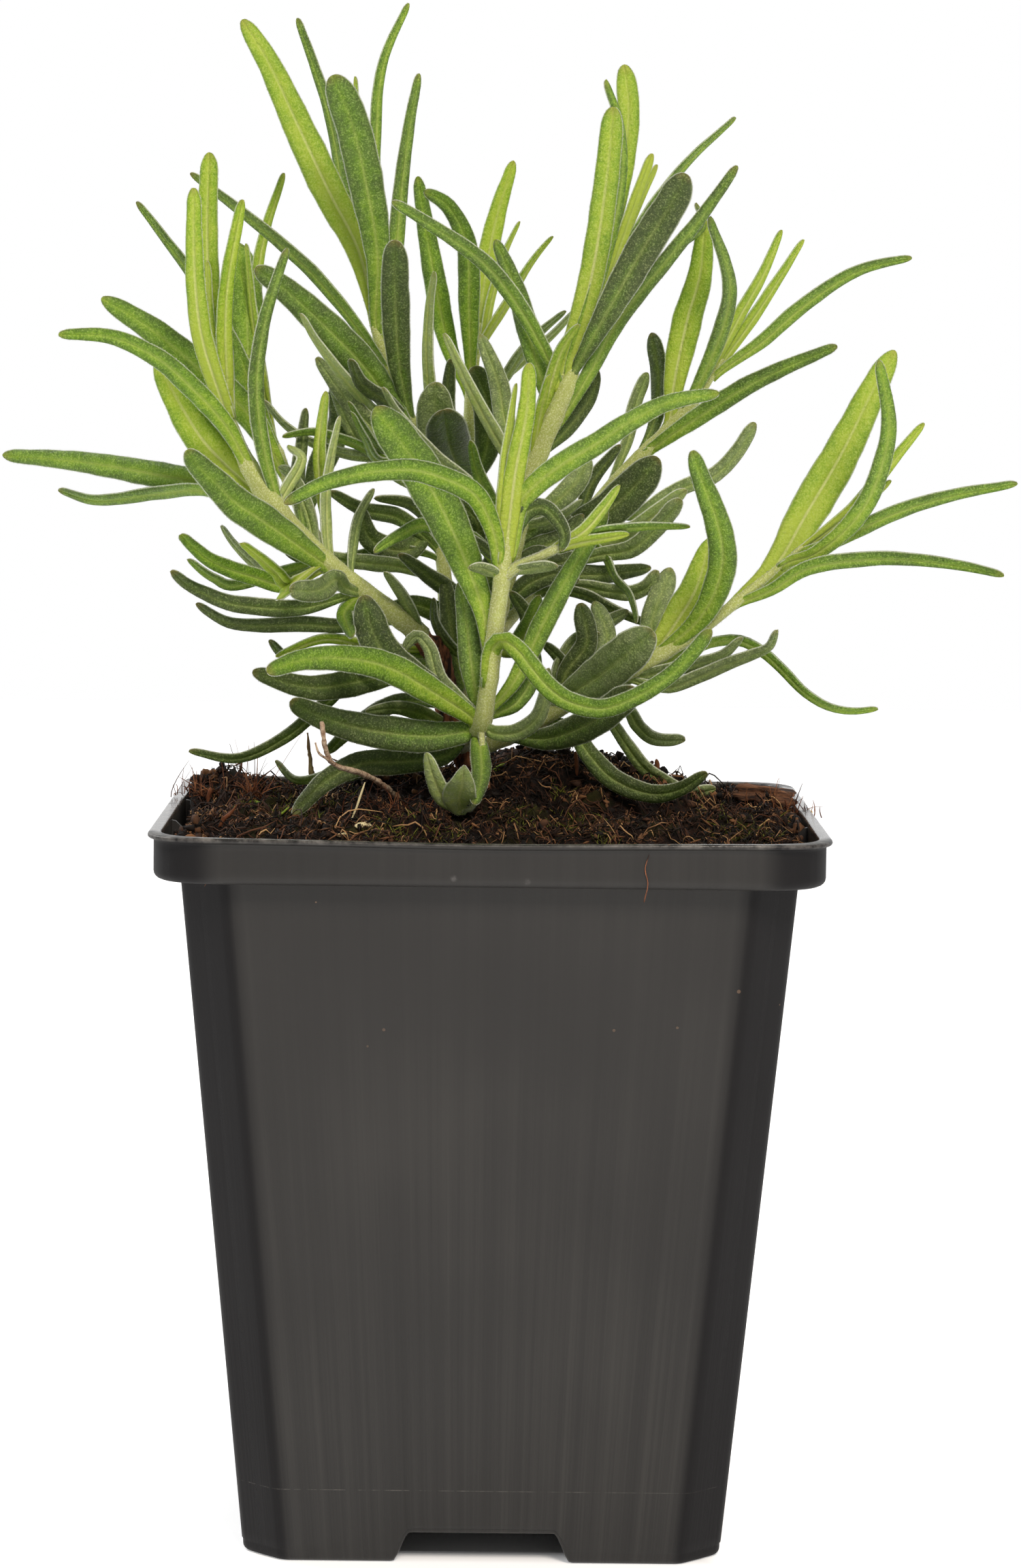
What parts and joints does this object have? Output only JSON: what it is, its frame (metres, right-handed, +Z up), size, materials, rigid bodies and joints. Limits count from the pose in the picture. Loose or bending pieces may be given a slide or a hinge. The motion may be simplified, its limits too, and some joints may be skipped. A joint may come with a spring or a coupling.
{
  "type": "potted lavender",
  "caption": "Young lavender plant with narrow blunt leaves on several branching shoots, growing in peat in a black tapered square nursery pot.",
  "frame": {"origin": "middle of the pot's foot, on the surface the pot stands on", "axes": "+Z up, -Y out of the front wall of the pot, +X to the right seen from the front"},
  "size_m": [0.1409, 0.09, 0.2115],
  "materials": {
    "pot_plastic": "satin",
    "peat": "rough",
    "dry_wood": "rough",
    "green_stem": "matte",
    "leaf": "matte"
  },
  "bodies": {
    "root": {"bark_chip": "dry_wood", "crown": "dry_wood", "dry_root": "dry_wood", "dry_stick": "dry_wood", "leaf_back_1": "leaf", "leaf_back_2": "leaf", "leaf_centre_1": "leaf", "leaf_centre_2": "leaf", "leaf_centre_3": "leaf", "leaf_centre_4": "leaf", "leaf_centre_5": "leaf", "leaf_centre_6": "leaf", "leaf_centre_7": "leaf", "leaf_far_right_1": "leaf", "leaf_far_right_2": "leaf", "leaf_far_right_3": "leaf", "leaf_far_right_4": "leaf", "leaf_far_right_5": "leaf", "leaf_far_right_6": "leaf", "leaf_far_right_7": "leaf", "leaf_far_right_8": "leaf", "leaf_front_1": "leaf", "leaf_front_2": "leaf", "leaf_front_3": "leaf", "leaf_front_4": "leaf", "leaf_front_5": "leaf", "leaf_front_6": "leaf", "leaf_front_7": "leaf", "leaf_front_8": "leaf", "leaf_left_1": "leaf", "leaf_left_2": "leaf", "leaf_left_3": "leaf", "leaf_left_4": "leaf", "leaf_left_5": "leaf", "leaf_left_6": "leaf", "leaf_left_7": "leaf", "leaf_left_8": "leaf", "leaf_left_back_1": "leaf", "leaf_left_back_2": "leaf", "leaf_right_1": "leaf", "leaf_right_2": "leaf", "leaf_right_3": "leaf", "leaf_right_4": "leaf", "leaf_upper_left_1": "leaf", "leaf_upper_left_2": "leaf", "leaf_upper_left_3": "leaf", "leaf_upper_left_4": "leaf", "leaf_upper_left_5": "leaf", "leaf_upper_left_6": "leaf", "leaf_upper_left_7": "leaf", "peat": "peat", "pot": "pot_plastic", "stem_back": "green_stem", "stem_centre": "green_stem", "stem_far_right": "green_stem", "stem_front": "green_stem", "stem_left": "green_stem", "stem_left_back": "green_stem", "stem_right": "green_stem", "stem_upper_left": "green_stem"}
  },
  "joints": []
}
